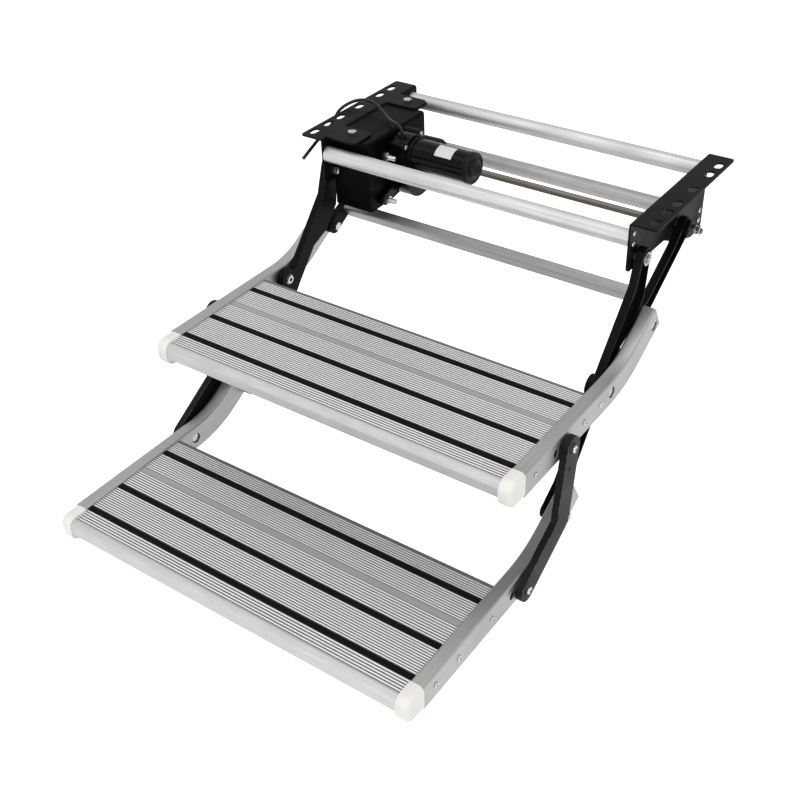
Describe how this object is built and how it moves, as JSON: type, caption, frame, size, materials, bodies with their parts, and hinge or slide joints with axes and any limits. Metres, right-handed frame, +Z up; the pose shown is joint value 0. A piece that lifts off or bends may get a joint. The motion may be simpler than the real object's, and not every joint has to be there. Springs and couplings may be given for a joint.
{
  "type": "caravan_step",
  "caption": "Motor-driven double fold-out caravan step with ribbed aluminium treads, black linkage and a slotted under-floor frame",
  "frame": {"origin": "middle of the plane of the two mounting flanges, halfway between them and halfway along them", "axes": "X across the step to the right seen from the front, Y to the rear under the vehicle, Z up"},
  "size_m": [0.6562, 0.875, 0.4216],
  "materials": {
    "deck_aluminium": "satin",
    "rail_aluminium": "satin",
    "tube_aluminium": "satin",
    "cap_plastic": "satin",
    "grip_rubber": "matte",
    "black_coat": "satin",
    "charcoal_coat": "satin",
    "zinc_steel": "satin",
    "shaft_steel": "satin",
    "gear_steel": "satin",
    "motor_black": "satin",
    "motor_core": "matte",
    "black_plastic": "matte",
    "bush_plastic": "matte"
  },
  "bodies": {
    "frame": {"left_side_plate": "black_coat", "right_side_plate": "black_coat", "front_cross_tube": "tube_aluminium", "rear_upper_tube": "tube_aluminium", "rear_lower_tube": "tube_aluminium", "frame_screws": "zinc_steel", "motor_bracket": "black_coat", "bracket_bolts": "zinc_steel", "frame_nuts": "zinc_steel", "gearbox_housing": "motor_black", "gearbox_cover": "motor_black", "gearbox_bolts": "zinc_steel", "gearbox_nuts": "zinc_steel", "motor_clamp_ring": "motor_black", "motor_can": "motor_black", "motor_magnets": "motor_core", "motor_end_cap": "black_plastic", "motor_bearings": "zinc_steel", "idler_spindle": "zinc_steel", "cable_gland": "black_plastic", "motor_cable": "black_plastic", "lever_pivot_bolts": "zinc_steel", "lever_pivot_washers": "zinc_steel"},
    "front_levers": {"left_front_lever": "black_coat", "right_front_lever": "black_coat", "lever_bushes": "zinc_steel"},
    "upper_tread": {"upper_deck": "deck_aluminium", "upper_left_rail": "rail_aluminium", "upper_right_rail": "rail_aluminium", "upper_left_cap": "cap_plastic", "upper_right_cap": "cap_plastic", "upper_grip_strips": "grip_rubber", "upper_rail_screws": "zinc_steel", "upper_rail_rivets": "zinc_steel", "upper_bolts": "zinc_steel", "link_top_bolts": "zinc_steel"},
    "rear_arms": {"drive_shaft": "shaft_steel", "shaft_bushes": "bush_plastic", "shaft_castle_nuts": "zinc_steel", "shaft_clips": "zinc_steel", "left_rear_arm": "black_coat", "right_rear_arm": "black_coat", "arm_cross_tube": "tube_aluminium", "arm_tube_screws": "zinc_steel", "arm_studs": "zinc_steel", "output_gear": "gear_steel"},
    "outer_links": {"left_outer_link": "charcoal_coat", "right_outer_link": "charcoal_coat", "link_foot_bolts": "zinc_steel"},
    "lower_tread": {"lower_deck": "deck_aluminium", "lower_left_rail": "rail_aluminium", "lower_right_rail": "rail_aluminium", "lower_left_cap": "cap_plastic", "lower_right_cap": "cap_plastic", "lower_grip_strips": "grip_rubber", "lower_rail_screws": "zinc_steel", "lower_bolts": "zinc_steel"},
    "idler": {"idler_gear": "gear_steel"},
    "rotor": {"motor_armature": "motor_core", "motor_pinion": "zinc_steel"}
  },
  "joints": [
    {"name": "fold", "type": "hinge", "parent": "frame", "child": "front_levers", "pos_m": [0, -0.103, -0.063], "axis": [1, 0, 0], "range_deg": [0, 100]},
    {"name": "upper_tread_turn", "type": "hinge", "parent": "front_levers", "child": "upper_tread", "pos_m": [0, -0.231, -0.209], "axis": [1, 0, 0], "range_deg": [-108.09, 0]},
    {"name": "shaft_turn", "type": "hinge", "parent": "frame", "child": "rear_arms", "pos_m": [0, 0.037, -0.077], "axis": [1, 0, 0], "range_deg": [0, 129.01]},
    {"name": "outer_link_turn", "type": "hinge", "parent": "upper_tread", "child": "outer_links", "pos_m": [0, -0.366, -0.214], "axis": [1, 0, 0], "range_deg": [0, 96.34]},
    {"name": "lower_tread_turn", "type": "hinge", "parent": "front_levers", "child": "lower_tread", "pos_m": [0, -0.348, -0.3545], "axis": [1, 0, 0], "range_deg": [-110.11, 0]},
    {"name": "idler_turn", "type": "hinge", "parent": "frame", "child": "idler", "pos_m": [0, -0.0065, -0.08165], "axis": [1, 0, 0], "range_deg": [-328.6, 0]},
    {"name": "rotor_turn", "type": "hinge", "parent": "frame", "child": "rotor", "pos_m": [0, -0.022, -0.041], "axis": [1, 0, 0], "range_deg": [0, 1253.99]}
  ],
  "couplings": [
    {"joint": "upper_tread_turn", "follows": "fold", "ratio": -1.0609},
    {"joint": "shaft_turn", "follows": "fold", "ratio": 1.2701},
    {"joint": "outer_link_turn", "follows": "fold", "ratio": 0.94338},
    {"joint": "lower_tread_turn", "follows": "fold", "ratio": -1.0811},
    {"joint": "idler_turn", "follows": "fold", "ratio": -3.266},
    {"joint": "rotor_turn", "follows": "fold", "ratio": 12.52}
  ]
}
